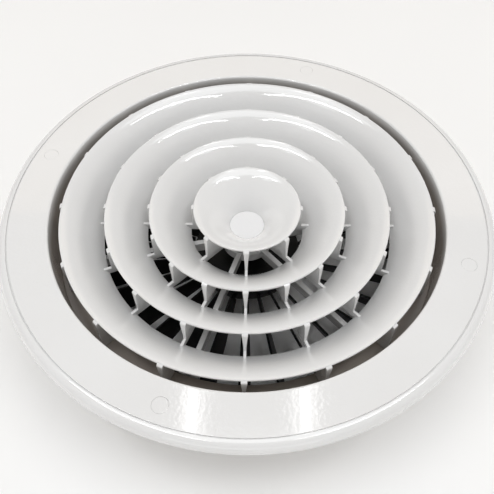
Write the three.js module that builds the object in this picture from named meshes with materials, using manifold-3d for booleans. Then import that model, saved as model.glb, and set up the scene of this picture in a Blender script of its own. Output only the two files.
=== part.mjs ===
// Round ceiling air diffuser with a lift-out cone core and a radial-blade damper.
// Millimetres. +Z points out of the face, away from the duct, and z = 0 is the free end of the duct collar.

import * as THREE from 'three';
import { mergeVertices } from 'three/addons/utils/BufferGeometryUtils.js';
import Module from 'manifold-3d';

const wasm = await Module();
wasm.setup();

// ---- Driving dimensions ----

const GAP = 0.3;                     // clearance left between pieces that meet
const BITE = 1;                      // how far shapes that are joined reach into each other
const FRONT = -90;                   // azimuth of the first rib, arm set and blade, in degrees

// Levels
const RIM_PLANE = 80;                // the plane of all the cone rims
const FACE_RISE = 0.7;               // how far the flange face stands above the rims
const FACE_FALL = 0.3;               // how much lower the face is at its outer edge
const CEILING_DROP = 5.9;            // from the rims down to the ceiling surface
const LEDGE_DROP = 33;               // from the rims down to the ledge that carries the core
const ARM_DROP = 33.2;               // from the rims down to the top of the support arms
const PIVOT_DROP = 56;               // from the rims down to the blade pivots

// Face frame
const FACE_RADIUS = 175;
const FACE_OPENING = 140;
const FACE_EDGE_ROUND = 1.5;
const FACE_FLAT_END = 168.1;         // where the flat face ends and the rolled lip starts
const LIP_WIDTH = 2.4;
const LIP_DRAFT = 1;                 // slope of the lip's inner side
const SKIRT_FOOT = 138;
const WALL = 2.2;
const COLLAR_BORE = 121;             // fits a 250 mm duct

// Screw plugs
const SCREW_CIRCLE = 156.5;
const SCREW_COUNT = 4;
const SCREW_AZIMUTH = FRONT - 18;
const PLUG_RADIUS = 5.15;
const PLUG_HEIGHT = 1.5;
const PLUG_PEG_RADIUS = 1.8;
const PLUG_PEG_LENGTH = 3;
const SCREW_HOLE_RADIUS = 2.3;
const SCREW_BOSS_RADIUS = 8;

// Cones: the rim, the neck and the depth of each, from the centre outwards
const DISH = { rim: 38.5, neck: 12.6, depth: 20.8 };
const CONES = [
  { name: 'inner_cone', rim: 69.9, neck: 41.2, depth: 25.8 },
  { name: 'middle_cone', rim: 101.3, neck: 73.2, depth: 24.8 },
  { name: 'outer_cone', rim: 132.8, neck: 105.0, depth: 24.5 },
];
const CONE_WALL = 2;
const NECK_SLOPE = THREE.MathUtils.degToRad(51);
const RIM_SLOPE = THREE.MathUtils.degToRad(6);

// Ribs under the dish and the cones
const DISH_RIBS = 8;
const CONE_RIBS = 16;
const RIB_TAB = 1.6;                 // how far a rib shows beyond its rim
const RIB_TOP_DROP = 0.2;
const RIB_KNEE = 20.6;               // drop at which a rib turns outwards to the next wall
const RIB_FOOT = 26.2;               // drop of a rib's lower edge
const RIB_TOP_THICKNESS = 4.2;
const RIB_FOOT_THICKNESS = 1.2;
const CORE_FOOT_THICKNESS = 2;       // the feet of the outer ribs, which stand on the ledge

// Fastening of the core at its centre
const CAP_HEIGHT = 1.5;
const CAP_SEAT_DROP = 22.6;
const SCREW_SEAT_DROP = 26.5;
const SCREW_POCKET_RADIUS = 6;
const CORE_BOSS_RADIUS = 9;
const WASHER_RADIUS = 5.2;
const WASHER_HEIGHT = 0.8;
const SCREW_HEAD_RADIUS = 4;
const SCREW_HEAD_HEIGHT = 2.2;
const SCREW_SHANK_RADIUS = 1.9;
const SCREW_BORE_RADIUS = 2.3;
const RECESS_SPAN = 1.1;             // length of the screws' cross recess, in head radii
const RECESS_WIDTH = 0.25;
const RECESS_DEPTH = 1.1;
const CORE_SCREW_END_DROP = 38;
const SCREW_TIP_GAP = 1;             // bore left beyond a screw's tip
const INSERT_RADIUS = 3.6;
const INSERT_LENGTH = 6;

// Support spider
const ARM_COUNT = 6;
const ARM_AZIMUTH = FRONT - 18;
const ARM_WIDTH = 3.8;
const ARM_DEPTH = 8.8;
const ARM_PAD_WIDTH = 14;            // the pad at an arm's end, welded to the collar's wall
const ARM_PAD_THICKNESS = 2;
const SPIDER_HUB_RADIUS = 18.6;
const SPIDER_BOSS_RADIUS = 10;

// Damper
const BLADE_COUNT = 28;
const BLADE_THICKNESS = 1.6;
const BLADE_COVER = 0.93;            // share of the pitch that a blade covers when it lies flat
const BLADE_END_GAP = 1.5;
const REST_PITCH = 18;               // degrees from fully open, as delivered
const MIDDLE_PITCH = 36;             // degrees from fully open at which the cranks hang straight down
const CRANK_RATIO = 8.3;             // blade turn for one turn of the drive plate
const CRANK_OFFSET = 4.3;
const CRANK_WIDTH = 1.8;
const PIN_RADIUS = 1.2;
const PIN_HOLE_RADIUS = 1.7;
const HOUSING_RADIUS = COLLAR_BORE - 2 * GAP;
const HOUSING_WALL = 2.4;
const HOUSING_TOP_DROP = 42.3;
const HOUSING_END_DROP = 71;
const HUB_RADIUS = 40.5;
const HUB_WALL = 2;
const HUB_TOP_DROP = 51;
const HUB_SKIRT_DROP = 60.5;
const POST_RADIUS = 7;
const POST_END_DROP = 66.4;
const DRIVE_RADIUS = 35.5;
const DRIVE_WALL = 2.6;
const DRIVE_WALL_TOP_DROP = 57.4;
const DRIVE_PLATE_DROP = 64.2;
const DRIVE_PLATE_HEIGHT = 2;
const DRIVE_SLOT_WIDTH = 2.9;
const DRIVE_SLOT_END_DROP = 62.6;
const TAB_AZIMUTH = 42;
const TAB_RADIUS = 27;
const TAB_WIDTH = 8;
const TAB_THICKNESS = 2.5;
const TAB_TOP_DROP = 46;
const TAB_SLOT_WIDTH = 5.5;
const TAB_SLOT_FROM = TAB_AZIMUTH - 12.5;
const TAB_SLOT_TO = TAB_AZIMUTH + 17;
const HUB_WASHER_RADIUS = 11;
const HUB_WASHER_HEIGHT = 1.3;
const HUB_SCREW_TOP_DROP = 42.5;
const HUB_SCREW_HEAD_RADIUS = 4.5;
const HUB_SCREW_HEAD_HEIGHT = 3;

// Facets
const FRAME_FACETS = 48;
const CONE_FACETS = 2 * CONE_RIBS;
const DISH_FACETS = 3 * DISH_RIBS;
const SPIDER_FACETS = 4 * ARM_COUNT;
const SMALL_FACETS = 12;
const PIN_FACETS = 6;
const CURVE_STEPS = 4;

// ---- Materials ----

function material(color, roughness, metalness) {
  return () => new THREE.MeshStandardMaterial({ color, roughness, metalness });
}

const whitePlastic = material(0xe9e8e4, 0.3, 0);
const blackPlastic = material(0x151515, 0.55, 0);
const brass = material(0xc9a55a, 0.35, 1);
const steel = material(0xb9bcc0, 0.35, 1);

// ---- Geometry helpers ----

const level = (drop) => RIM_PLANE - drop;
const radians = THREE.MathUtils.degToRad;
const point = (r, drop) => new THREE.Vector2(r, level(drop));

// A body of revolution about Z. Its profile is a list of (radius, height) points that runs
// counter-clockwise. A facet is centred on the azimuth FRONT, or a corner lies there if start is 0.
function turned(profile, facets, start = Math.PI / facets) {
  const closed = profile[0].x === 0 ? profile : [...profile, profile[0]];
  return new THREE.LatheGeometry(closed, facets, start).rotateX(Math.PI / 2);
}

// A plate that stands in the plane through Z at azimuth 0, its outline given as (radius, height) points.
function upright(outline, thickness) {
  const shape = new THREE.Shape(outline);
  const geometry = new THREE.ExtrudeGeometry(shape, { depth: thickness, bevelEnabled: false });
  return geometry.translate(0, 0, -thickness / 2).rotateX(Math.PI / 2);
}

// A round pin or hole along the radius at azimuth 0, from one radius to another.
function radialPin(from, to, radius, height) {
  const geometry = new THREE.CylinderGeometry(radius, radius, to - from, PIN_FACETS);
  return geometry.rotateZ(Math.PI / 2).translate((from + to) / 2, 0, height);
}

function block(width, depth, height, x, y, z) {
  return new THREE.BoxGeometry(width, depth, height).translate(x, y, z);
}

function around(geometry, azimuth) {
  return geometry.clone().rotateZ(radians(azimuth));
}

function azimuths(count, first) {
  return Array.from({ length: count }, (_, i) => first + (360 * i) / count);
}

function solid(geometry) {
  const bare = geometry.clone();
  bare.deleteAttribute('normal');
  bare.deleteAttribute('uv');
  const merged = mergeVertices(bare, 1e-4);
  const vertProperties = new Float32Array(merged.attributes.position.array);
  const triVerts = new Uint32Array(merged.index.array);
  return new wasm.Manifold(new wasm.Mesh({ numProp: 3, vertProperties, triVerts }));
}

function surface(body) {
  const mesh = body.getMesh();
  const geometry = new THREE.BufferGeometry();
  geometry.setAttribute('position', new THREE.BufferAttribute(mesh.vertProperties, 3));
  geometry.setIndex(new THREE.BufferAttribute(mesh.triVerts, 1));
  return geometry;
}

function join(base, additions, cuts = []) {
  const joined = additions.reduce((body, piece) => body.add(solid(piece)), solid(base));
  return surface(cuts.reduce((body, piece) => body.subtract(solid(piece)), joined));
}

const group = new THREE.Group();

function addPiece(name, geometry, makeMaterial) {
  const mesh = new THREE.Mesh(geometry, makeMaterial());
  mesh.name = name;
  group.add(mesh);
}

// ---- Face frame: flange, skirt, ledge and duct collar, each its own node ----

const FLANGE_UNDERSIDE_DROP = WALL - FACE_RISE + FACE_FALL;

function faceFlange() {
  const lipCurve = new THREE.EllipseCurve(
    FACE_FLAT_END, level(CEILING_DROP), FACE_RADIUS - FACE_FLAT_END, CEILING_DROP + FACE_RISE - FACE_FALL,
    0, Math.PI / 2,
  );
  const profile = [
    point(FACE_OPENING, FLANGE_UNDERSIDE_DROP),
    point(FACE_RADIUS - LIP_WIDTH - LIP_DRAFT, FLANGE_UNDERSIDE_DROP),
    point(FACE_RADIUS - LIP_WIDTH, CEILING_DROP),
    ...lipCurve.getPoints(CURVE_STEPS - 1),
    point(FACE_OPENING + FACE_EDGE_ROUND, -FACE_RISE),
    point(FACE_OPENING, FACE_EDGE_ROUND - FACE_RISE),
  ];
  const bossTop = level(0);
  const bossHeight = CEILING_DROP;
  const boss = new THREE.CylinderGeometry(SCREW_BOSS_RADIUS, SCREW_BOSS_RADIUS, bossHeight, SMALL_FACETS);
  boss.rotateX(Math.PI / 2).translate(SCREW_CIRCLE, 0, bossTop - bossHeight / 2);
  const holeHeight = 2 * WALL + bossHeight;
  const hole = new THREE.CylinderGeometry(SCREW_HOLE_RADIUS, SCREW_HOLE_RADIUS, holeHeight, PIN_FACETS);
  hole.rotateX(Math.PI / 2).translate(SCREW_CIRCLE, 0, bossTop - bossHeight / 2);
  const seatRadius = PLUG_RADIUS + GAP;
  const seatDepth = PLUG_HEIGHT + GAP;
  const seat = new THREE.CylinderGeometry(seatRadius, seatRadius, 2 * seatDepth, SMALL_FACETS);
  seat.rotateX(Math.PI / 2).translate(SCREW_CIRCLE, 0, plugTop());
  const places = azimuths(SCREW_COUNT, SCREW_AZIMUTH);
  const bosses = places.map((azimuth) => around(boss, azimuth));
  const cuts = places.flatMap((azimuth) => [around(hole, azimuth), around(seat, azimuth)]);
  return join(turned(profile, FRAME_FACETS, 0), bosses, cuts);
}

function faceSkirt() {
  return turned([
    point(SKIRT_FOOT, LEDGE_DROP - GAP),
    point(SKIRT_FOOT + WALL, LEDGE_DROP - GAP),
    point(FACE_OPENING + WALL, FLANGE_UNDERSIDE_DROP + GAP),
    point(FACE_OPENING, FLANGE_UNDERSIDE_DROP + GAP),
  ], FRAME_FACETS, 0);
}

function coreLedge() {
  return turned([
    point(COLLAR_BORE, LEDGE_DROP + WALL),
    point(SKIRT_FOOT + WALL, LEDGE_DROP + WALL),
    point(SKIRT_FOOT + WALL, LEDGE_DROP),
    point(COLLAR_BORE, LEDGE_DROP),
  ], FRAME_FACETS, 0);
}

function ductCollar() {
  return turned([
    point(COLLAR_BORE, RIM_PLANE),
    point(COLLAR_BORE + WALL, RIM_PLANE),
    point(COLLAR_BORE + WALL, LEDGE_DROP + WALL + GAP),
    point(COLLAR_BORE, LEDGE_DROP + WALL + GAP),
  ], FRAME_FACETS, 0);
}

// The flange face falls slightly towards its edge, so a plug's top lies between the two levels.
function plugTop() {
  return level(-FACE_RISE) - FACE_FALL * (SCREW_CIRCLE - FACE_OPENING) / (FACE_FLAT_END - FACE_OPENING);
}

function screwPlug() {
  const top = plugTop();
  const profile = [
    new THREE.Vector2(0, top - PLUG_HEIGHT - PLUG_PEG_LENGTH),
    new THREE.Vector2(PLUG_PEG_RADIUS, top - PLUG_HEIGHT - PLUG_PEG_LENGTH),
    new THREE.Vector2(PLUG_PEG_RADIUS, top - PLUG_HEIGHT),
    new THREE.Vector2(PLUG_RADIUS, top - PLUG_HEIGHT),
    new THREE.Vector2(PLUG_RADIUS, top),
    new THREE.Vector2(0, top),
  ];
  return turned(profile, SMALL_FACETS).translate(SCREW_CIRCLE, 0, 0);
}

addPiece('face_flange', faceFlange(), whitePlastic);
addPiece('face_skirt', faceSkirt(), whitePlastic);
addPiece('core_ledge', coreLedge(), whitePlastic);
addPiece('duct_collar', ductCollar(), whitePlastic);
azimuths(SCREW_COUNT, SCREW_AZIMUTH).forEach((azimuth, i) => {
  addPiece(`screw_plug_${i + 1}`, around(screwPlug(), azimuth), whitePlastic);
});

// ---- Core: a dish and three bell-mouthed cones, with ribs that join each to the next ----

// The upper surface of a bell wall, from its neck to its rim: steep at the neck, nearly level at the rim.
function bellCurve({ rim, neck, depth }) {
  const width = rim - neck;
  const reach = (depth - width * Math.tan(RIM_SLOPE)) / (Math.tan(NECK_SLOPE) - Math.tan(RIM_SLOPE));
  const knee = point(neck + reach, depth - reach * Math.tan(NECK_SLOPE));
  return new THREE.QuadraticBezierCurve(point(neck, depth), knee, point(rim, 0));
}

// The same surface moved down into the wall or through it.
function bellOffset(bell, offset, steps) {
  const curve = bellCurve(bell);
  return Array.from({ length: steps + 1 }, (_, i) => {
    const at = curve.getPoint(i / steps);
    const along = curve.getTangent(i / steps);
    return new THREE.Vector2(at.x + offset * along.y, at.y - offset * along.x);
  });
}

function bellRadiusAt(bell, height) {
  const points = bellCurve(bell).getPoints(CURVE_STEPS);
  const above = points.findIndex((p) => p.y > height);
  const [low, high] = [points[above - 1], points[above]];
  return low.x + (high.x - low.x) * (height - low.y) / (high.y - low.y);
}

// A rib hangs under its own bell, drops straight from the rim and turns out at the knee to the next wall.
function rib(bell, reach, root) {
  const front = bell.rim + RIB_TAB;
  const outline = [
    point(front, RIB_TOP_DROP),
    point(front, RIB_KNEE),
    ...reach,
    ...root,
    ...bellOffset(bell, CONE_WALL / 2, CURVE_STEPS - 1),
  ];
  const geometry = upright(outline, RIB_TOP_THICKNESS);
  const position = geometry.attributes.position;
  for (let i = 0; i < position.count; i += 1) {
    const share = (RIM_PLANE - position.getZ(i)) / RIB_FOOT;
    const thickness = THREE.MathUtils.lerp(RIB_TOP_THICKNESS, RIB_FOOT_THICKNESS, share);
    position.setY(i, position.getY(i) * thickness / RIB_TOP_THICKNESS);
  }
  return geometry;
}

// The end of a rib, which follows the wall outside it down past its neck.
function reachTo(next) {
  const neckEnd = next.neck - 2 * GAP;
  return [
    point(bellRadiusAt(next, level(RIB_KNEE)) - 2 * GAP, RIB_KNEE),
    point(neckEnd, next.depth),
    point(neckEnd, RIB_FOOT),
  ];
}

function bellProfile(bell) {
  const top = bellCurve(bell).getPoints(CURVE_STEPS).reverse();
  const back = bellOffset(bell, CONE_WALL, CURVE_STEPS - 1);
  const edge = top.shift();
  back[back.length - 1].x -= CONE_WALL / 2;
  return [...back, point(edge.x, CONE_WALL / 2), new THREE.Vector2(edge.x - CONE_WALL / 3, edge.y), ...top];
}

function cone(index) {
  const bell = CONES[index];
  const next = CONES[index + 1];
  const reach = next ? reachTo(next) : [point(bell.rim + RIB_TAB, RIB_FOOT)];
  const plate = rib(bell, reach, [point(bell.neck + CONE_WALL, RIB_FOOT)]);
  const plates = azimuths(CONE_RIBS, FRONT).map((azimuth) => around(plate, azimuth));
  return join(turned(bellProfile(bell), CONE_FACETS), plates);
}

// The outer cone's ribs have feet that stand on the frame's ledge.
function coreFoot() {
  const front = CONES.at(-1).rim + RIB_TAB;
  const outline = [
    point(front, RIB_KNEE),
    point(COLLAR_BORE + BITE, RIB_KNEE),
    point(COLLAR_BORE + BITE, LEDGE_DROP - GAP),
    point(front, LEDGE_DROP - GAP),
  ];
  return upright(outline, CORE_FOOT_THICKNESS);
}

function outerCone() {
  const foot = coreFoot();
  const feet = azimuths(CONE_RIBS, FRONT).map((azimuth) => around(foot, azimuth));
  return join(cone(CONES.length - 1), feet);
}

function centreDish() {
  const floorThickness = CONE_WALL;
  const profile = [
    point(SCREW_BORE_RADIUS, ARM_DROP - GAP),
    point(CORE_BOSS_RADIUS, ARM_DROP - GAP),
    point(CORE_BOSS_RADIUS, CAP_SEAT_DROP + floorThickness),
    ...bellProfile({ ...DISH, neck: DISH.neck + GAP }).slice(0, -1),
    point(DISH.neck + GAP, DISH.depth),
    point(DISH.neck + GAP, CAP_SEAT_DROP),
    point(SCREW_POCKET_RADIUS, CAP_SEAT_DROP),
    point(SCREW_POCKET_RADIUS, SCREW_SEAT_DROP),
    point(SCREW_BORE_RADIUS, SCREW_SEAT_DROP),
  ];
  const root = [
    point(CORE_BOSS_RADIUS - BITE, RIB_FOOT),
    point(CORE_BOSS_RADIUS - BITE, CAP_SEAT_DROP + BITE),
    point(DISH.neck + BITE, CAP_SEAT_DROP + BITE),
  ];
  const plate = rib(DISH, reachTo(CONES[0]), root);
  const plates = azimuths(DISH_RIBS, FRONT).map((azimuth) => around(plate, azimuth));
  return join(turned(profile, DISH_FACETS), plates);
}

function centreCap() {
  const profile = [
    point(0, DISH.depth + CAP_HEIGHT),
    point(DISH.neck, DISH.depth + CAP_HEIGHT),
    point(DISH.neck, DISH.depth),
    point(0, DISH.depth),
  ];
  return turned(profile, DISH_FACETS);
}

function washer(outer, bore, topDrop, height) {
  const profile = [
    point(bore, topDrop + height),
    point(outer, topDrop + height),
    point(outer, topDrop),
    point(bore, topDrop),
  ];
  return turned(profile, SMALL_FACETS);
}

// A cross recess for a screwdriver, centred on a screw head's face.
function crossRecess(headRadius, height) {
  const length = headRadius * RECESS_SPAN;
  const width = headRadius * RECESS_WIDTH;
  const depth = 2 * RECESS_DEPTH;
  return [block(length, width, depth, 0, 0, height), block(width, length, depth, 0, 0, height)];
}

function coreScrew() {
  const headBottom = SCREW_SEAT_DROP - WASHER_HEIGHT - 2 * GAP;
  const headTop = headBottom - SCREW_HEAD_HEIGHT;
  const profile = [
    point(0, CORE_SCREW_END_DROP),
    point(SCREW_SHANK_RADIUS, CORE_SCREW_END_DROP),
    point(SCREW_SHANK_RADIUS, headBottom),
    point(SCREW_HEAD_RADIUS, headBottom),
    point(SCREW_HEAD_RADIUS, headTop),
    point(0, headTop),
  ];
  return join(turned(profile, SMALL_FACETS), [], crossRecess(SCREW_HEAD_RADIUS, level(headTop)));
}

addPiece('centre_dish', centreDish(), whitePlastic);
addPiece(CONES[0].name, cone(0), whitePlastic);
addPiece(CONES[1].name, cone(1), whitePlastic);
addPiece(CONES[2].name, outerCone(), whitePlastic);
addPiece('centre_cap', centreCap(), whitePlastic);
addPiece(
  'core_washer',
  washer(WASHER_RADIUS, SCREW_BORE_RADIUS, SCREW_SEAT_DROP - GAP - WASHER_HEIGHT, WASHER_HEIGHT),
  steel,
);
addPiece('core_screw', coreScrew(), steel);

// ---- Support spider: six arms across the neck, with the hub that holds core and damper ----

function supportSpider() {
  const boreTop = HUB_SCREW_TOP_DROP - SCREW_TIP_GAP;
  const insertPocket = ARM_DROP + INSERT_LENGTH + GAP;
  const hub = turned([
    point(0, boreTop),
    point(SCREW_BORE_RADIUS, boreTop),
    point(SCREW_BORE_RADIUS, HUB_TOP_DROP - GAP),
    point(SPIDER_BOSS_RADIUS, HUB_TOP_DROP - GAP),
    point(SPIDER_BOSS_RADIUS, ARM_DROP + ARM_DEPTH),
    point(SPIDER_HUB_RADIUS, ARM_DROP + ARM_DEPTH),
    point(SPIDER_HUB_RADIUS, ARM_DROP),
    point(INSERT_RADIUS + GAP, ARM_DROP),
    point(INSERT_RADIUS + GAP, insertPocket),
    point(0, insertPocket),
  ], SPIDER_FACETS);
  const armStart = SPIDER_HUB_RADIUS - 2 * BITE;
  const armEnd = COLLAR_BORE - 4 * GAP;
  const armLevel = level(ARM_DROP + ARM_DEPTH / 2);
  const arm = block(armEnd - armStart, ARM_WIDTH, ARM_DEPTH, (armStart + armEnd) / 2, 0, armLevel);
  const padTop = LEDGE_DROP + WALL + GAP;
  const padHeight = ARM_DROP + ARM_DEPTH - padTop;
  const pad = block(
    ARM_PAD_THICKNESS, ARM_PAD_WIDTH, padHeight,
    armEnd - ARM_PAD_THICKNESS / 2, 0, level(padTop + padHeight / 2),
  );
  const places = azimuths(ARM_COUNT, ARM_AZIMUTH);
  const arms = places.flatMap((azimuth) => [around(arm, azimuth), around(pad, azimuth)]);
  return join(hub, arms);
}

addPiece('support_spider', supportSpider(), whitePlastic);
addPiece('threaded_insert', washer(INSERT_RADIUS, SCREW_BORE_RADIUS, ARM_DROP, INSERT_LENGTH), brass);

// ---- Damper: a housing, a hub, and a drive plate whose slots turn all the blades together ----

function damperHousing() {
  const bore = HOUSING_RADIUS - HOUSING_WALL;
  const ring = turned([
    point(bore, HOUSING_END_DROP),
    point(HOUSING_RADIUS, HOUSING_END_DROP),
    point(HOUSING_RADIUS, HOUSING_TOP_DROP),
    point(bore, HOUSING_TOP_DROP),
  ], BLADE_COUNT);
  const holeEnd = HOUSING_RADIUS + HOUSING_WALL;
  const hole = radialPin(bore - HOUSING_WALL, holeEnd, PIN_HOLE_RADIUS, level(PIVOT_DROP));
  return join(ring, [], azimuths(BLADE_COUNT, FRONT).map((azimuth) => around(hole, azimuth)));
}

function arcSlot(inner, outer, from, to) {
  const shape = new THREE.Shape();
  shape.absarc(0, 0, outer, radians(from), radians(to), false);
  shape.absarc(0, 0, inner, radians(to), radians(from), true);
  const height = 3 * HUB_WALL;
  const options = { depth: height, bevelEnabled: false, curveSegments: CURVE_STEPS };
  return new THREE.ExtrudeGeometry(shape, options).translate(0, 0, level(HUB_TOP_DROP + 2 * HUB_WALL));
}

function damperHub() {
  const body = turned([
    point(SCREW_BORE_RADIUS, POST_END_DROP),
    point(POST_RADIUS, POST_END_DROP),
    point(POST_RADIUS, HUB_TOP_DROP + HUB_WALL),
    point(HUB_RADIUS - HUB_WALL, HUB_TOP_DROP + HUB_WALL),
    point(HUB_RADIUS - HUB_WALL, HUB_SKIRT_DROP),
    point(HUB_RADIUS, HUB_SKIRT_DROP),
    point(HUB_RADIUS, HUB_TOP_DROP),
    point(SCREW_BORE_RADIUS, HUB_TOP_DROP),
  ], BLADE_COUNT);
  const holeEnd = HUB_RADIUS + HUB_WALL;
  const hole = radialPin(HUB_RADIUS - 2 * HUB_WALL, holeEnd, PIN_HOLE_RADIUS, level(PIVOT_DROP));
  const holes = azimuths(BLADE_COUNT, FRONT).map((azimuth) => around(hole, azimuth));
  const half = TAB_SLOT_WIDTH / 2;
  const tabSlot = arcSlot(TAB_RADIUS - half, TAB_RADIUS + half, TAB_SLOT_FROM, TAB_SLOT_TO);
  return join(body, [], [...holes, tabSlot]);
}

function drivePlate() {
  const bottom = DRIVE_PLATE_DROP + DRIVE_PLATE_HEIGHT;
  const body = turned([
    point(POST_RADIUS + GAP, bottom),
    point(DRIVE_RADIUS, bottom),
    point(DRIVE_RADIUS, DRIVE_WALL_TOP_DROP),
    point(DRIVE_RADIUS - DRIVE_WALL, DRIVE_WALL_TOP_DROP),
    point(DRIVE_RADIUS - DRIVE_WALL, DRIVE_PLATE_DROP),
    point(POST_RADIUS + GAP, DRIVE_PLATE_DROP),
  ], BLADE_COUNT);
  const slotHeight = DRIVE_SLOT_END_DROP - DRIVE_WALL_TOP_DROP;
  const slot = block(
    3 * DRIVE_WALL, DRIVE_SLOT_WIDTH, 2 * slotHeight,
    DRIVE_RADIUS - DRIVE_WALL / 2, 0, level(DRIVE_WALL_TOP_DROP),
  );
  const lag = (REST_PITCH - MIDDLE_PITCH) / CRANK_RATIO;
  const slots = azimuths(BLADE_COUNT, FRONT + lag).map((azimuth) => around(slot, azimuth));
  const tabFoot = DRIVE_PLATE_DROP + DRIVE_PLATE_HEIGHT / 2;
  const tab = block(
    TAB_THICKNESS, TAB_WIDTH, tabFoot - TAB_TOP_DROP,
    TAB_RADIUS, 0, level((tabFoot + TAB_TOP_DROP) / 2),
  );
  return join(body, [around(tab, TAB_AZIMUTH)], slots);
}

function hubScrew() {
  const headTop = POST_END_DROP + HUB_WASHER_HEIGHT + 2 * GAP;
  const headEnd = headTop + HUB_SCREW_HEAD_HEIGHT;
  const profile = [
    point(0, headEnd),
    point(HUB_SCREW_HEAD_RADIUS, headEnd),
    point(HUB_SCREW_HEAD_RADIUS, headTop),
    point(SCREW_SHANK_RADIUS, headTop),
    point(SCREW_SHANK_RADIUS, HUB_SCREW_TOP_DROP),
    point(0, HUB_SCREW_TOP_DROP),
  ];
  return join(turned(profile, SMALL_FACETS), [], crossRecess(HUB_SCREW_HEAD_RADIUS, level(headEnd)));
}

// A sector-shaped blade standing on its pivot axis, with a crank at its inner end.
function damperBlade() {
  const inner = HUB_RADIUS + BLADE_END_GAP;
  const outer = HOUSING_RADIUS - HOUSING_WALL - BLADE_END_GAP;
  const halfPerRadius = BLADE_COVER * Math.PI / BLADE_COUNT;
  const outline = [
    new THREE.Vector2(inner, -inner * halfPerRadius),
    new THREE.Vector2(outer, -outer * halfPerRadius),
    new THREE.Vector2(outer, outer * halfPerRadius),
    new THREE.Vector2(inner, inner * halfPerRadius),
  ];
  const crankOuter = HUB_RADIUS - HUB_WALL - 2 * GAP;
  const crankInner = DRIVE_RADIUS + GAP;
  const half = CRANK_WIDTH / 2;
  const crank = upright([
    new THREE.Vector2(crankInner, PIN_RADIUS),
    new THREE.Vector2(crankInner, half - CRANK_OFFSET),
    new THREE.Vector2(DRIVE_RADIUS - DRIVE_WALL, half - CRANK_OFFSET),
    new THREE.Vector2(DRIVE_RADIUS - DRIVE_WALL, -half - CRANK_OFFSET),
    new THREE.Vector2(crankOuter, -half - CRANK_OFFSET),
    new THREE.Vector2(crankOuter, PIN_RADIUS),
  ], CRANK_WIDTH);
  const innerPin = radialPin(crankInner + GAP, inner + BITE, PIN_RADIUS, 0);
  const outerPin = radialPin(outer - BITE, HOUSING_RADIUS - 2 * GAP, PIN_RADIUS, 0);
  const pieces = [innerPin, outerPin, crank.rotateX(radians(-MIDDLE_PITCH))];
  return join(upright(outline, BLADE_THICKNESS), pieces);
}

addPiece('damper_housing', damperHousing(), blackPlastic);
addPiece('damper_hub', damperHub(), blackPlastic);
addPiece('drive_plate', drivePlate(), blackPlastic);
addPiece(
  'hub_washer',
  washer(HUB_WASHER_RADIUS, SCREW_BORE_RADIUS, POST_END_DROP + GAP, HUB_WASHER_HEIGHT),
  steel,
);
addPiece('hub_screw', hubScrew(), steel);

const blade = damperBlade().rotateX(radians(REST_PITCH)).translate(0, 0, level(PIVOT_DROP));
azimuths(BLADE_COUNT, FRONT).forEach((azimuth, i) => {
  addPiece(`damper_blade_${String(i + 1).padStart(2, '0')}`, around(blade, azimuth), blackPlastic);
});

export default group;
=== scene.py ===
import math

import bmesh
import bpy
from mathutils import Matrix, Vector


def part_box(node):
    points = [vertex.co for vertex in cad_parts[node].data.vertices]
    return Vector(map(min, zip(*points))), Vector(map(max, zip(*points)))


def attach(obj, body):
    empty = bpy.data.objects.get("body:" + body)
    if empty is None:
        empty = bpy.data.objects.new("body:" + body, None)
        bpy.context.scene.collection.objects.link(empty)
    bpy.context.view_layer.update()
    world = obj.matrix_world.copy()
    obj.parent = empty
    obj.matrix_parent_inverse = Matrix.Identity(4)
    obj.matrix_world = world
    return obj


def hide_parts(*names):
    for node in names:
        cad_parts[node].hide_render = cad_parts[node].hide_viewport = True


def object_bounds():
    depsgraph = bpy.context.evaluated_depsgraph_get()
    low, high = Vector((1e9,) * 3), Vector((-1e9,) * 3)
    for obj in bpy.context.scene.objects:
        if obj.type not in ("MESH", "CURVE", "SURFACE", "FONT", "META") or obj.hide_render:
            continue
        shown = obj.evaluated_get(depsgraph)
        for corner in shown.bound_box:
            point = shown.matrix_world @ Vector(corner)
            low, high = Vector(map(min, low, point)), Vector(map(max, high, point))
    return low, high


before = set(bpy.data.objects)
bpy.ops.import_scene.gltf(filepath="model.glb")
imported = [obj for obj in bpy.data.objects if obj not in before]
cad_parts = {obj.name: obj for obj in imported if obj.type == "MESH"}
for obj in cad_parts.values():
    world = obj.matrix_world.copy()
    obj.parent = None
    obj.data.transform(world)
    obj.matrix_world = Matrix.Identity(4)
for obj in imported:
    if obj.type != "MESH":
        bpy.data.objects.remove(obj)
cad_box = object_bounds()

# A round ceiling diffuser, in metres, standing on the end of its duct collar with its face up.
# Lengths below are in millimetres. A drop is the distance below the plane of the cone rims.

MM = 0.001
FRONT = -90                     # azimuth of the first rib and blade, in degrees

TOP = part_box("face_flange")[1].z / MM
FACE_RISE = 0.7
RIM_PLANE = TOP - FACE_RISE
FACE_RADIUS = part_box("face_flange")[1].x / MM
RIB_TAB = 1.6
CONE_WALL = 2
NECK_SLOPE = math.radians(51)
RIM_SLOPE = math.radians(6)
RIB_KNEE = 20.6
RIB_FOOT = 26.2
COLLAR_BORE = 121
LIP_DROP = 5.9                  # the ceiling's surface
LEDGE_DROP = 33                 # the ledge that the core's feet stand over
SKIRT_FOOT = 35.2
ARM_TOP = 33.2
ARM_FOOT = 42
SCREW_BORE = 2.3
SCREW_CIRCLE = 156.5
SCREW_AZIMUTHS = [FRONT - 18 + 90 * k for k in range(4)]
BLADES = 28
PIVOT_DROP = 56
PIN_RADIUS = 1.2
PIN_HOLE_RADIUS = 1.5
HUB_RADIUS = 40.5
HOUSING_RADIUS = 120.4
HOUSING_WALL = 2.4
BOSS_FOOT = 66.4                # the lower end of the damper hub's boss
REST_PITCH = 18
MIDDLE_PITCH = 36
BLADE_RATIO = 8.3               # a blade's turn for each turn of the drive plate

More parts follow.
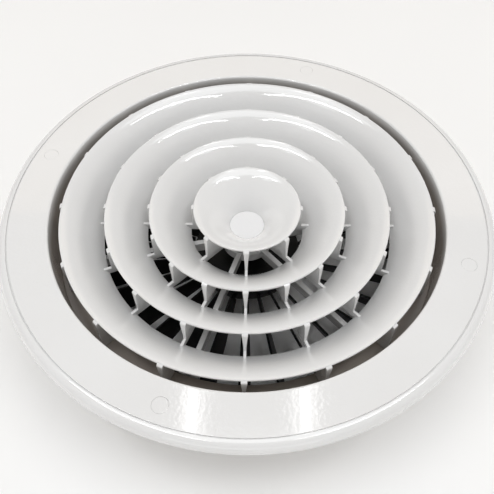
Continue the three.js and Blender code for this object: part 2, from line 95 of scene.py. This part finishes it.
DISH = {"node": "centre_dish", "rim": 38.5, "neck": 12.6, "depth": 20.8}
INNER = {"node": "inner_cone", "rim": 69.9, "neck": 41.2, "depth": 25.8}
MIDDLE = {"node": "middle_cone", "rim": 101.3, "neck": 73.2, "depth": 24.8}
OUTER = {"node": "outer_cone", "rim": 132.8, "neck": 105.0, "depth": 24.5}

# A rib's tab is the furthest that a CAD cone reaches at the level of its rim.
for bell in (DISH, INNER, MIDDLE, OUTER):
    top = [v.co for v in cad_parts[bell["node"]].data.vertices if v.co.z > (RIM_PLANE - 0.5) * MM]
    assert abs(max(abs(p.x) for p in top) / MM - bell["rim"] - RIB_TAB) < 0.2, bell["node"]


def level(drop):
    return RIM_PLANE - drop


# ---- Mesh building: every shape is a pair (points, faces), in millimetres ----

def filleted(corners, steps=5):
    """Rounds the corners of a closed outline. A corner is (x, z) or (x, z, radius)."""
    outline = []
    for i, corner in enumerate(corners):
        here = Vector(corner[:2])
        radius = corner[2] if len(corner) > 2 else 0
        if not radius:
            outline.append(tuple(here))
            continue
        back = (Vector(corners[i - 1][:2]) - here).normalized()
        ahead = (Vector(corners[(i + 1) % len(corners)][:2]) - here).normalized()
        half = back.angle(ahead) / 2
        centre = here + (back + ahead).normalized() * radius / math.sin(half)
        first = here + back * radius / math.tan(half) - centre
        sweep = first.angle_signed(here + ahead * radius / math.tan(half) - centre)
        for k in range(steps + 1):
            turn = Matrix.Rotation(-sweep * k / steps, 2)
            outline.append(tuple(centre + turn @ first))
    return outline


def turned(outline, segments=192):
    """A closed body of revolution about Z from an outline of (radius, z)."""
    points, faces, rings = [], [], []
    for r, z in outline:
        if r < 1e-6:
            rings.append([len(points)] * segments)
            points.append((0, 0, z))
            continue
        rings.append(range(len(points), len(points) + segments))
        for k in range(segments):
            a = math.tau * k / segments
            points.append((r * math.cos(a), r * math.sin(a), z))
    for low, high in zip(rings, [*rings[1:], rings[0]]):
        for k in range(segments):
            n = (k + 1) % segments
            face = list(dict.fromkeys((low[k], low[n], high[n], high[k])))
            if len(face) > 2:
                faces.append(face)
    return points, faces


def lofted(sections):
    """A closed body through sections of the same number of points."""
    count = len(sections[0])
    points = [tuple(p) for section in sections for p in section]
    faces = [list(range(count))[::-1]]
    faces.append([len(points) - count + k for k in range(count)])
    for s in range(len(sections) - 1):
        for k in range(count):
            n = (k + 1) % count
            faces.append([s * count + k, s * count + n, (s + 1) * count + n, (s + 1) * count + k])
    return points, faces


def merged(shapes):
    points, faces = [], []
    for more_points, more_faces in shapes:
        start = len(points)
        points += more_points
        faces += [[start + i for i in face] for face in more_faces]
    return points, faces


def moved(shape, matrix):
    points, faces = shape
    return [tuple(matrix @ Vector(p)) for p in points], faces


def spun(shape, azimuths):
    return merged([moved(shape, Matrix.Rotation(math.radians(a), 4, "Z")) for a in azimuths])


def every(count, first=FRONT):
    return [first + 360 * k / count for k in range(count)]


def slab(x0, x1, y0, y1, z0, z1):
    corners = [(y0, z0), (y1, z0), (y1, z1), (y0, z1)]
    return lofted([[(x, y, z) for y, z in corners] for x in (x0, x1)])


def pin(x0, x1, radius, segments=28):
    """A round pin along the radius at azimuth 0, with a small chamfer at each end."""
    sections = []
    for x, r in ((x0, radius - 0.25), (x0 + 0.25, radius), (x1 - 0.25, radius), (x1, radius - 0.25)):
        angles = [math.tau * k / segments for k in range(segments)]
        sections.append([(x, r * math.cos(a), r * math.sin(a)) for a in angles])
    return lofted(sections)


def drum(radius, z0, z1):
    """An upright cylinder, to cut holes with."""
    return turned([(0, z0), (radius, z0), (radius, z1), (0, z1)], 64)


def mesh_object(name, shape, sharp_from=32):
    points, faces = shape
    mesh = bpy.data.meshes.new(name)
    mesh.from_pydata([tuple(c * MM for c in p) for p in points], [], faces)
    mesh.update()
    thing = bpy.data.objects.new(name, mesh)
    bpy.context.scene.collection.objects.link(thing)
    tidy_normals(mesh)
    mesh.shade_smooth()
    mesh.set_sharp_from_angle(angle=math.radians(sharp_from))
    return thing


def tidy_normals(mesh):
    work = bmesh.new()
    work.from_mesh(mesh)
    bmesh.ops.recalc_face_normals(work, faces=work.faces)
    work.to_mesh(mesh)
    work.free()


def applied(thing):
    """Replaces an object's mesh by what its modifiers make of it."""
    graph = bpy.context.evaluated_depsgraph_get()
    done = bpy.data.meshes.new_from_object(thing.evaluated_get(graph))
    thing.modifiers.clear()
    thing.data = done
    return thing


def bevelled(thing, width, segments=2):
    bevel = thing.modifiers.new("edges", "BEVEL")
    bevel.width = width * MM
    bevel.segments = segments
    bevel.limit_method = "ANGLE"
    bevel.angle_limit = math.radians(40)
    applied(thing)
    thing.data.shade_smooth()
    thing.data.set_sharp_from_angle(angle=math.radians(45))
    return thing


def cut(thing, shape):
    tool = mesh_object("tool", shape)
    boolean = thing.modifiers.new("cut", "BOOLEAN")
    boolean.operation = "DIFFERENCE"
    boolean.solver = "EXACT"
    boolean.object = tool
    applied(thing)
    bpy.data.objects.remove(tool)
    thing.data.shade_smooth()
    thing.data.set_sharp_from_angle(angle=math.radians(32))
    return thing


def finished(thing, body, slot, material, *nodes):
    normals = thing.modifiers.new("normals", "WEIGHTED_NORMAL")
    normals.keep_sharp = True
    thing.data.materials.clear()
    thing.data.materials.append(material)
    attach(thing, body)
    if nodes:
        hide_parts(*nodes)
    return thing


# ---- Materials ----

class Nodes:
    """A procedural material with a Principled shader."""

    def __init__(self, name):
        self.material = bpy.data.materials.new(name)
        self.material.use_nodes = True
        self.tree = self.material.node_tree
        self.shader = self.tree.nodes["Principled BSDF"]
        self.place = self.tree.nodes.new("ShaderNodeTexCoord").outputs["Object"]

    def noise(self, scale, detail=4, roughness=0.5, stretch=None):
        node = self.tree.nodes.new("ShaderNodeTexNoise")
        node.inputs["Scale"].default_value = scale
        node.inputs["Detail"].default_value = detail
        node.inputs["Roughness"].default_value = roughness
        source = self.place
        if stretch:
            mapping = self.tree.nodes.new("ShaderNodeMapping")
            mapping.inputs["Scale"].default_value = stretch
            self.tree.links.new(source, mapping.inputs["Vector"])
            source = mapping.outputs["Vector"]
        self.tree.links.new(source, node.inputs["Vector"])
        return node.outputs["Fac"]

    def ramp(self, value, stops):
        node = self.tree.nodes.new("ShaderNodeValToRGB")
        ramp = node.color_ramp
        ramp.elements[0].position, ramp.elements[0].color = stops[0][0], (*stops[0][1], 1)
        ramp.elements[1].position, ramp.elements[1].color = stops[1][0], (*stops[1][1], 1)
        for position, color in stops[2:]:
            ramp.elements.new(position).color = (*color, 1)
        self.tree.links.new(value, node.inputs["Fac"])
        return node.outputs["Color"]

    def span(self, value, low, high):
        node = self.tree.nodes.new("ShaderNodeMapRange")
        node.inputs["To Min"].default_value = low
        node.inputs["To Max"].default_value = high
        self.tree.links.new(value, node.inputs["Value"])
        return node.outputs["Result"]

    def window(self, value, start, end):
        """0 at one length in millimetres, 1 at the other."""
        node = self.tree.nodes.new("ShaderNodeMapRange")
        node.inputs["From Min"].default_value = start * MM
        node.inputs["From Max"].default_value = end * MM
        self.tree.links.new(value, node.inputs["Value"])
        return node.outputs["Result"]

    def times(self, one, other):
        node = self.tree.nodes.new("ShaderNodeMath")
        node.operation = "MULTIPLY"
        self.tree.links.new(one, node.inputs[0])
        self.tree.links.new(other, node.inputs[1])
        return node.outputs["Value"]

    def axis_distance(self):
        flat = self.tree.nodes.new("ShaderNodeVectorMath")
        flat.operation = "MULTIPLY"
        flat.inputs[1].default_value = (1, 1, 0)
        self.tree.links.new(self.place, flat.inputs[0])
        length = self.tree.nodes.new("ShaderNodeVectorMath")
        length.operation = "LENGTH"
        self.tree.links.new(flat.outputs["Vector"], length.inputs[0])
        return length.outputs["Value"]

    def mixed(self, kind, factor, one, other):
        node = self.tree.nodes.new("ShaderNodeMix")
        node.data_type = "RGBA"
        node.blend_type = kind
        node.inputs["Factor"].default_value = factor
        self.tree.links.new(one, node.inputs[6])
        self.tree.links.new(other, node.inputs[7])
        return node.outputs[2]

    def bump(self, *layers):
        normal = None
        for value, distance, strength in layers:
            node = self.tree.nodes.new("ShaderNodeBump")
            node.inputs["Distance"].default_value = distance
            node.inputs["Strength"].default_value = strength
            self.tree.links.new(value, node.inputs["Height"])
            if normal:
                self.tree.links.new(normal, node.inputs["Normal"])
            normal = node.outputs["Normal"]
        self.tree.links.new(normal, self.shader.inputs["Normal"])

    def set(self, **values):
        for name, value in values.items():
            socket = self.shader.inputs[name.replace("_", " ")]
            if hasattr(value, "is_output"):
                self.tree.links.new(value, socket)
            else:
                socket.default_value = value


MOULDED_TONES = (0.785, 0.781, 0.775), (0.815, 0.814, 0.811)
# Painted light: a lighter copy of the moulded white, so the dish's flat cap shows brighter than the walls
# around it.
CAP_PAINTED_LIGHT_TONES = (0.88, 0.88, 0.885), (0.905, 0.905, 0.91)


def white_plastic(name="white_plastic", recess=None, tones=MOULDED_TONES):
    """Glossy moulded plastic. Painted shade darkens a recess, (radius, top, bottom, floor), from its top
    down.
    """
    dark, light = tones
    n = Nodes(name)
    tone = n.ramp(n.noise(14, 5), [(0.3, dark), (0.7, light)])
    specks = n.ramp(n.noise(950, 3, 0.7), [(0.28, (0.93, 0.92, 0.90)), (0.40, (1, 1, 1))])
    color = n.mixed("MULTIPLY", 0.4, tone, specks)
    if recess:
        radius, top, bottom, floor = recess
        split = n.tree.nodes.new("ShaderNodeSeparateXYZ")
        n.tree.links.new(n.place, split.inputs["Vector"])
        height = split.outputs["Z"]
        inside = n.window(n.axis_distance(), radius + 0.4, radius)
        shade_mask = n.times(n.window(height, top, bottom), n.times(inside, n.window(height, floor - 0.3, floor)))
        # Painted shade: a dark brownish grey multiplied into the colour inside the recess, growing from its
        # top to full shade lower down and on to the ledge.
        painted_shade = n.ramp(shade_mask, [(0.0, (1, 1, 1)), (1.0, (0.56, 0.50, 0.45))])
        color = n.mixed("MULTIPLY", 1.0, color, painted_shade)
    n.set(Base_Color=color, Roughness=n.span(n.noise(45, 5), 0.035, 0.07), IOR=1.53)
    n.set(Coat_Weight=0.8, Coat_Roughness=0.03)
    n.bump((n.noise(55, 2), 0.0004, 0.05), (n.noise(420, 2), 0.0001, 0.7), (n.noise(1300, 2), 0.00003, 0.10))
    return n.material


def black_plastic():
    n = Nodes("black_plastic")
    n.set(Base_Color=n.ramp(n.noise(90, 4), [(0.3, (0.004, 0.004, 0.004)), (0.75, (0.010, 0.010, 0.009))]))
    n.set(Roughness=n.span(n.noise(160, 4), 0.34, 0.52), Specular_IOR_Level=0.25)
    n.bump((n.noise(1500, 3), 0.00005, 0.4))
    return n.material


def plated_steel():
    n = Nodes("plated_steel")
    n.set(Base_Color=n.ramp(n.noise(300, 4), [(0.3, (0.50, 0.51, 0.53)), (0.7, (0.62, 0.62, 0.61))]))
    n.set(Roughness=n.span(n.noise(700, 3), 0.22, 0.38), Metallic=1.0)
    n.bump((n.noise(900, 2, stretch=(1, 1, 14)), 0.00003, 0.35))
    return n.material


def turned_brass():
    n = Nodes("turned_brass")
    n.set(Base_Color=n.ramp(n.noise(260, 4), [(0.3, (0.55, 0.38, 0.15)), (0.7, (0.68, 0.49, 0.21))]))
    n.set(Roughness=n.span(n.noise(600, 3), 0.22, 0.36), Metallic=1.0)
    n.bump((n.noise(800, 2, stretch=(1, 1, 12)), 0.00003, 0.35))
    return n.material


WHITE = white_plastic()
# The frame's white has painted shade in the slot between the face and the outer cone, down to the ledge.
SLOT_SHADE_ZONE = (139.9, level(1.5), level(10), level(33.6))
WHITE_FRAME_PAINTED_SHADE = white_plastic("white_plastic_frame_painted_shade", SLOT_SHADE_ZONE)
WHITE_CAP_PAINTED_LIGHT = white_plastic("white_plastic_cap_painted_light", tones=CAP_PAINTED_LIGHT_TONES)
BLACK = black_plastic()
STEEL = plated_steel()
BRASS = turned_brass()


# ---- Face frame and screw plugs ----

GROOVE = 168.1
GROOVE_DEPTH = 1.1
FACE_FALL = 0.3
SEAT_RADIUS = 5.24
PLUG_RADIUS = 5.15


def face_level(radius):
    return TOP - FACE_FALL * (radius - 140) / (GROOVE - 140)


def lip_outline():
    """The rolled edge, from the ceiling line up to the groove, as a quarter of an ellipse."""
    height = face_level(GROOVE) - level(LIP_DROP)
    width = FACE_RADIUS - GROOVE - 0.4
    steps = [math.pi / 2 * k / 14 for k in range(15)]
    return [(FACE_RADIUS - width + width * math.cos(a), level(LIP_DROP) + height * math.sin(a))
            for a in steps]


def face_frame():
    under = TOP - 2.2 - FACE_FALL
    outline = filleted([
        (COLLAR_BORE + 2.2, 0, 0.5), (COLLAR_BORE + 2.2, level(SKIRT_FOOT), 1.2),
        (140.2, level(SKIRT_FOOT), 1.5),
        (142.2, under, 1), (FACE_RADIUS - 3.4, under, 0.8), (FACE_RADIUS - 2.4, level(LIP_DROP), 0.4),
        *lip_outline(),
        (GROOVE + 0.4, face_level(GROOVE) - GROOVE_DEPTH, 0.2),
        (GROOVE - 0.5, face_level(GROOVE) - GROOVE_DEPTH, 0.2), (GROOVE - 0.5, face_level(GROOVE), 0.3),
        (140, TOP, 1.6), (138, level(LEDGE_DROP), 0.8),
        (COLLAR_BORE, level(LEDGE_DROP), 0.8), (COLLAR_BORE, 0, 0.5),
    ])
    boss = moved(drum(8, 0, 6), Matrix.Translation((SCREW_CIRCLE, 0, level(LIP_DROP))))
    thing = mesh_object("face_frame_skin", turned(outline, 256))
    add = mesh_object("bosses", spun(boss, SCREW_AZIMUTHS))
    union = thing.modifiers.new("join", "BOOLEAN")
    union.operation = "UNION"
    union.solver = "EXACT"
    union.object = add
    applied(thing)
    bpy.data.objects.remove(add)
    over_boss = Matrix.Translation((SCREW_CIRCLE, 0, face_level(SCREW_CIRCLE)))
    seat = moved(drum(SEAT_RADIUS, -1.8, 3), over_boss)
    hole = moved(drum(SCREW_BORE, -9, 0), over_boss)
    cut(thing, spun(seat, SCREW_AZIMUTHS))
    cut(thing, spun(hole, SCREW_AZIMUTHS))
    # This material paints shade into the slot's skirt wall and ledge.
    finished(thing, "frame", "body_white", WHITE_FRAME_PAINTED_SHADE,
             "face_flange", "face_skirt", "core_ledge", "duct_collar")


def screw_plugs():
    top = face_level(SCREW_CIRCLE)
    outline = filleted([
        (0, top - 4.5), (1.8, top - 4.5, 0.3), (1.8, top - 1.5), (PLUG_RADIUS, top - 1.5, 0.2),
        (PLUG_RADIUS, top, 0.12), (0, top),
    ])
    plug = moved(turned(outline, 64), Matrix.Translation((SCREW_CIRCLE, 0, 0)))
    for k, azimuth in enumerate(SCREW_AZIMUTHS):
        thing = mesh_object(f"plug_{k + 1}", spun(plug, [azimuth]))
        finished(thing, "frame", "body_white", WHITE, f"screw_plug_{k + 1}")


# ---- Core: dish and cones ----

def bell_point(bell, t, offset=0):
    """A point of a bell's upper surface, or of that surface moved down into its wall."""
    width = bell["rim"] - bell["neck"]
    reach = (bell["depth"] - width * math.tan(RIM_SLOPE)) / (math.tan(NECK_SLOPE) - math.tan(RIM_SLOPE))
    start = Vector((bell["neck"], level(bell["depth"])))
    knee = Vector((bell["neck"] + reach, level(bell["depth"] - reach * math.tan(NECK_SLOPE))))
    end = Vector((bell["rim"], level(0)))
    at = start * (1 - t) ** 2 + knee * 2 * t * (1 - t) + end * t * t
    along = ((knee - start) * (1 - t) + (end - knee) * t).normalized()
    return at + Vector((along.y, -along.x)) * offset


def bell_radius(bell, drop, offset=0):
    low, high = 0.0, 1.0
    for _ in range(30):
        middle = (low + high) / 2
        if bell_point(bell, middle, offset).y < level(drop):
            low = middle
        else:
            high = middle
    return bell_point(bell, low, offset).x


def bell_outline(bell, steps=28):
    """The wall's section, thin at its rounded rim."""
    under = [tuple(bell_point(bell, k / steps, CONE_WALL)) for k in range(steps)]
    rim = Vector((bell["rim"] - 0.9, level(0) - 0.95))
    rounded = [tuple(rim + Vector((math.sin(a), math.cos(a))) * 0.9)
               for a in [math.pi * (1 - k / 10) for k in range(9)]]
    upper = [tuple(bell_point(bell, 1 - k / steps)) for k in range(1, steps + 1)]
    return under + rounded + upper


def rib_thickness(drop):
    """4.1 mm at the top, 1.9 mm at the knee and 1.4 mm at the foot."""
    above_knee = 2.2 * max(0, 1 - drop / RIB_KNEE) ** 1.5
    below_knee = 0.5 * max(0, drop - RIB_KNEE) / (RIB_FOOT - RIB_KNEE)
    return 1.9 + above_knee - below_knee


def rib_section(inner, outer, drop):
    half = rib_thickness(drop) / 2
    return [(inner, -half, level(drop)), (outer, -half, level(drop)),
            (outer, half, level(drop)), (inner, half, level(drop))]


def rib(bell, next_bell, root, shoulder=None):
    """Straight down from the rim to the knee, then out to the wall of the next bell. The shoulder gives,
    drop by drop, where a rib starts while it passes the cap's seat."""
    shoulder = shoulder or {}
    front = bell["rim"] + RIB_TAB
    set_back = {0.6: 1.9, 1.0: 0.6, 1.5: 0.15}      # slopes the top of the tab
    upper = []
    for drop in (0.6, 1.0, 1.5, 2.2, 3.2, 5, 7, 9.5, 12, 14.5, 17, 19, RIB_KNEE):
        inner = bell_radius(bell, min(drop, bell["depth"]), 1)
        upper.append(rib_section(inner, front - set_back.get(drop, 0), drop))
    shapes = [lofted(upper)]
    lower = []
    for drop in (RIB_KNEE, 22, 22.7, 23.4, 24.6, RIB_FOOT):
        inner = shoulder.get(drop) or (root if drop > bell["depth"] - 1 else bell_radius(bell, drop, 1))
        outer = front
        if next_bell:
            outer = bell_radius(next_bell, min(drop, next_bell["depth"])) + 0.6
        lower.append(rib_section(inner, outer, drop))
    shapes.append(lofted(lower))
    return merged(shapes)


def cone(name, bell, next_bell):
    thing = mesh_object(f"{name}_bell", turned(bell_outline(bell)))
    finished(thing, "core", "body_white", WHITE, name)
    plate = rib(bell, next_bell, bell["neck"] + CONE_WALL)
    shapes = [plate]
    if not next_bell:
        front = bell["rim"] + RIB_TAB
        shapes.append(slab(COLLAR_BORE + 1, front, -1, 1, level(32.7), level(RIB_KNEE)))
    ribs = mesh_object(f"{name}_ribs", spun(merged(shapes), every(16)))
    finished(bevelled(ribs, 0.28), "core", "body_white", WHITE, name)


def centre_dish():
    neck = DISH["neck"] + 0.1
    outline = [
        (SCREW_BORE, level(32.9)), (9, level(32.9)), (9, level(24.6)),
        *bell_outline({**DISH, "neck": neck}),
        (neck, level(22.6)), (6, level(22.6)), (6, level(26.5)), (SCREW_BORE, level(26.5)),
    ]
    thing = mesh_object("dish_bell", turned(outline, 128))
    finished(thing, "core", "body_white", WHITE, "centre_dish")
    plate = rib(DISH, INNER, 8, {RIB_KNEE: 13.5, 22: 13.4, 22.7: 12.8})
    ribs = mesh_object("dish_ribs", spun(plate, every(8)))
    finished(bevelled(ribs, 0.28), "core", "body_white", WHITE, "centre_dish")
    low = level(DISH["depth"] + 1.5)
    top = level(DISH["depth"])
    outline = filleted([(0, low), (DISH["neck"], low, 0.2), (DISH["neck"], top, 0.12), (0, top)])
    cap = mesh_object("dish_cap", turned(outline, 128))
    finished(cap, "core", "body_white", WHITE_CAP_PAINTED_LIGHT, "centre_cap")


# ---- Support spider ----

def support_spider():
    outline = filleted([
        (SCREW_BORE, level(50.7)), (10, level(50.7), 0.6), (10, level(ARM_FOOT)),
        (18.6, level(ARM_FOOT), 0.8),
        (18.6, level(ARM_TOP), 0.8), (3.9, level(ARM_TOP)), (3.9, level(39.5)), (SCREW_BORE, level(39.5)),
    ])
    hub = mesh_object("spider_hub", turned(outline, 128))
    finished(hub, "frame", "body_white", WHITE, "support_spider")
    arm = slab(16.6, 119.8, -1.9, 1.9, level(ARM_FOOT), level(ARM_TOP))
    pad = slab(117.8, 119.8, -7, 7, level(ARM_FOOT), level(35.5))
    arms = mesh_object("spider_arms", spun(merged([arm, pad]), every(6, FRONT - 18)))
    finished(bevelled(arms, 0.45), "frame", "body_white", WHITE, "support_spider")


# ---- Damper ----

def pin_holes(x0, x1):
    """What to cut from a wall so that every blade's pin turns freely in it."""
    hole = moved(pin(x0, x1, PIN_HOLE_RADIUS), Matrix.Translation((0, 0, level(PIVOT_DROP))))
    return spun(hole, every(BLADES))


def damper_fixed():
    bore = HOUSING_RADIUS - HOUSING_WALL
    outline = filleted([
        (bore, level(71), 0.5), (HOUSING_RADIUS, level(71), 0.5),
        (HOUSING_RADIUS, level(42.3), 0.5), (bore, level(42.3), 0.5),
    ])
    housing = mesh_object("housing_ring", turned(outline))
    cut(housing, pin_holes(bore - 1, HOUSING_RADIUS + 1))
    finished(housing, "frame", "damper_black", BLACK, "damper_housing")
    outline = filleted([
        (SCREW_BORE, level(BOSS_FOOT)), (7, level(BOSS_FOOT), 0.4), (7, level(53), 0.8),
        (HUB_RADIUS - 2, level(53), 0.8),
        (HUB_RADIUS - 2, level(60.5), 0.4), (HUB_RADIUS, level(60.5), 0.4), (HUB_RADIUS, level(51), 0.9),
        (SCREW_BORE, level(51)),
    ])
    hub = mesh_object("hub_shell", turned(outline, 128))
    slot = []
    for k in range(9):
        a = math.radians(29.5 + 29.5 * k / 8)
        radii = (24.25, 29.75)
        slot.append([(r * math.cos(a), r * math.sin(a), level(d)) for r, d in
                     ((radii[0], 55), (radii[1], 55), (radii[1], 49), (radii[0], 49))])
    cut(hub, lofted(slot))
    cut(hub, pin_holes(HUB_RADIUS - 3, HUB_RADIUS + 1))
    finished(hub, "frame", "damper_black", BLACK, "damper_hub")


def drive_plate():
    outline = filleted([
        (7.3, level(66.2), 0.3), (35.5, level(66.2), 0.7), (35.5, level(57.4), 0.3), (32.9, level(57.4), 0.3),
        (32.9, level(64.2), 0.5), (7.3, level(64.2), 0.3),
    ])
    plate = mesh_object("drive_cup", turned(outline, 128))
    lag = (REST_PITCH - MIDDLE_PITCH) / BLADE_RATIO
    slot = slab(30, 39, -1.45, 1.45, level(62.6), level(52))
    cut(plate, spun(slot, every(BLADES, FRONT + lag)))
    finished(plate, "drive", "damper_black", BLACK, "drive_plate")
    tab = mesh_object("drive_tab", spun(slab(25.75, 28.25, -4, 4, level(65), level(46)), [42]))
    finished(bevelled(tab, 0.5), "drive", "damper_black", BLACK, "drive_plate")


def damper_blades():
    inner, outer = HUB_RADIUS + 1.5, HOUSING_RADIUS - HOUSING_WALL - 1.5
    half = 0.93 * math.pi / BLADES
    sections = []
    for k in range(7):
        r = inner + (outer - inner) * k / 6
        w = r * half
        sections.append([(r, -0.8, -w), (r, 0.8, -w), (r, 0.8, w), (r, -0.8, w)])
    arm_turn = Matrix.Rotation(math.radians(-MIDDLE_PITCH), 4, "X")
    arm = merged([
        slab(35.8, 37.9, -0.9, 0.9, -5.2, 1.2),
        slab(32.9, 37.9, -0.9, 0.9, -5.2, -3.4),
    ])
    plate = mesh_object("blade_plate", lofted(sections))
    bevelled(plate, 0.4, 3)
    plate_shape = ([tuple(v.co / MM) for v in plate.data.vertices],
                   [list(p.vertices) for p in plate.data.polygons])
    bpy.data.objects.remove(plate)
    rod = merged([pin(36.1, inner + 1, PIN_RADIUS), pin(outer - 1, HOUSING_RADIUS - 0.6, PIN_RADIUS)])
    blade = merged([plate_shape, moved(arm, arm_turn), rod])
    rest = Matrix.Translation((0, 0, level(PIVOT_DROP))) @ Matrix.Rotation(math.radians(REST_PITCH), 4, "X")
    blade = moved(blade, rest)
    for k, azimuth in enumerate(every(BLADES)):
        number = f"{k + 1:02d}"
        thing = mesh_object(f"blade_{number}", spun(blade, [azimuth]), 45)
        finished(thing, f"blade_{number}", "damper_black", BLACK, f"damper_blade_{number}")


def fasteners():
    """Small turned parts, with a cross recess in each screw's head."""
    def ring(name, node, body, slot, material, bore, outer, drop, height):
        outline = filleted([(bore, level(drop + height), 0.12), (outer, level(drop + height), 0.2),
                            (outer, level(drop), 0.2), (bore, level(drop), 0.12)])
        finished(mesh_object(name, turned(outline, 64)), body, slot, material, node)

    ring("washer_core", "core_washer", "core", "fastener_steel", STEEL, SCREW_BORE, 5.2, 25.4, 0.8)
    ring("washer_hub", "hub_washer", "frame", "fastener_steel", STEEL, SCREW_BORE, 11, 66.7, 1.3)
    ring("insert_brass", "threaded_insert", "frame", "insert_brass", BRASS, SCREW_BORE, 3.6, ARM_TOP, 6)

    def thread(from_drop, to_drop):
        """Ridges of a thread, as an outline up the shank."""
        count = int((to_drop - from_drop) / 0.7)
        ridges = []
        for k in range(count):
            base = to_drop - 0.4 - k * 0.7
            ridges += [(1.6, level(base)), (1.9, level(base - 0.35))]
        return ridges

    outline = filleted([(0, level(38)), (1.5, level(38)), *thread(27.5, 38), (1.9, level(25.1)),
                        (4, level(25.1), 0.2), (4, level(22.9), 0.6), (0, level(22.9))])
    screw = mesh_object("screw_core", turned(outline, 48))
    cut(screw, merged([slab(-2.2, 2.2, -0.5, 0.5, level(24), level(22)),
                       slab(-0.5, 0.5, -2.2, 2.2, level(24), level(22))]))
    finished(screw, "core", "fastener_steel", STEEL, "core_screw")
    low = BOSS_FOOT + 1.3 + 0.6
    outline = filleted([(0, level(low + 3)), (4.5, level(low + 3), 0.8), (4.5, level(low), 0.2),
                        (1.9, level(low)), (1.9, level(42.5), 0.3), (0, level(42.5))])
    screw = mesh_object("screw_hub", turned(outline, 48))
    cut(screw, merged([slab(-2.5, 2.5, -0.55, 0.55, level(low + 4), level(low + 1.9)),
                       slab(-0.55, 0.55, -2.5, 2.5, level(low + 4), level(low + 1.9))]))
    finished(screw, "frame", "fastener_steel", STEEL, "hub_screw")


face_frame()
screw_plugs()
centre_dish()
cone("inner_cone", INNER, MIDDLE)
cone("middle_cone", MIDDLE, OUTER)
cone("outer_cone", OUTER, None)
support_spider()
damper_fixed()
drive_plate()
damper_blades()
fasteners()


# ---- Studio ----

def floor():
    mesh = bpy.data.meshes.new("floor")
    s, z = 6.0, cad_box[0].z - 0.0004
    mesh.from_pydata([(-s, -s, z), (s, -s, z), (s, s, z), (-s, s, z)], [], [(0, 1, 2, 3)])
    thing = bpy.data.objects.new("floor", mesh)
    bpy.context.scene.collection.objects.link(thing)
    n = Nodes("pale_floor")
    tone = n.ramp(n.noise(3, 3), [(0.3, (0.94, 0.937, 0.93)), (0.7, (0.955, 0.952, 0.945))])
    n.set(Base_Color=tone, Roughness=0.6)
    mesh.materials.append(n.material)


def area_light(name, place, target, width, height, power):
    data = bpy.data.lights.new(name, "AREA")
    data.shape = "RECTANGLE"
    data.size, data.size_y = width, height
    data.energy = power
    lamp = bpy.data.objects.new(name, data)
    lamp.location = place
    lamp.rotation_euler = (Vector(target) - Vector(place)).to_track_quat("-Z", "Y").to_euler()
    bpy.context.scene.collection.objects.link(lamp)
    return lamp


def flat_light(name, place, width, length, heading, power):
    """A light under the ceiling that faces straight down."""
    lamp = area_light(name, place, (place[0], place[1], 0), width, length, power)
    lamp.rotation_euler = (0, 0, math.radians(heading))


def camera():
    distance = 0.4592
    elevation, azimuth = math.radians(50.76), math.radians(-89.25)
    data = bpy.data.cameras.new("camera")
    data.sensor_width = 36
    data.lens = 46.85
    thing = bpy.data.objects.new("camera", data)
    thing.location = (distance * math.cos(elevation) * math.cos(azimuth),
                      distance * math.cos(elevation) * math.sin(azimuth),
                      0.080 + distance * math.sin(elevation))
    thing.rotation_euler = (math.radians(35.65), 0, math.radians(0.75))
    bpy.context.scene.collection.objects.link(thing)
    bpy.context.scene.camera = thing


def lights():
    """Flat lights under a ceiling, which the face reflects, and large soft ones for the rest."""
    centre = (0, 0, 0.08)
    ceiling = 1.47
    for side, where in ((-1, "left"), (1, "right")):
        flat_light(f"strip_{where}", (side * 0.165, 0.43, ceiling), 0.030, 0.30, 0, 0.14)
        flat_light(f"glow_{where}", (side * 0.165, 0.43, ceiling + 0.01), 0.075, 0.30, 0, 0.11)
        flat_light(f"lamp_{where}", (0.04 + side * 0.52, -0.21, ceiling), 0.92, 0.042, side * 49, 2.6)
    area_light("overhead", (0, -0.05, 2.5), centre, 2.6, 1.3, 19).data.color = (0.94, 0.97, 1.0)
    area_light("far_wall", (0, 3.1, 2.7), centre, 4.0, 1.6, 12).data.color = (1.0, 0.83, 0.64)
    area_light("front_fill", (0, -1.6, 0.55), centre, 1.6, 0.5, 2.2)
    for side, where in ((-1, "left"), (1, "right")):
        # Wide and low, to light the rims more than the necks. So near, they would show in reflections.
        fill = area_light(f"fill_{where}", (side * 1.7, 0.1, 0.80), centre, 3.6, 0.7, 9.5)
        fill.data.color = (1.0, 0.96, 0.91)
        fill.visible_glossy = False


def studio_world():
    world = bpy.data.worlds.new("studio")
    world.use_nodes = True
    background = world.node_tree.nodes["Background"]
    background.inputs["Color"].default_value = (1, 0.99, 0.98, 1)
    background.inputs["Strength"].default_value = 0.38
    bpy.context.scene.world = world
    bpy.context.scene.view_settings.view_transform = "Standard"


floor()
lights()
camera()
studio_world()
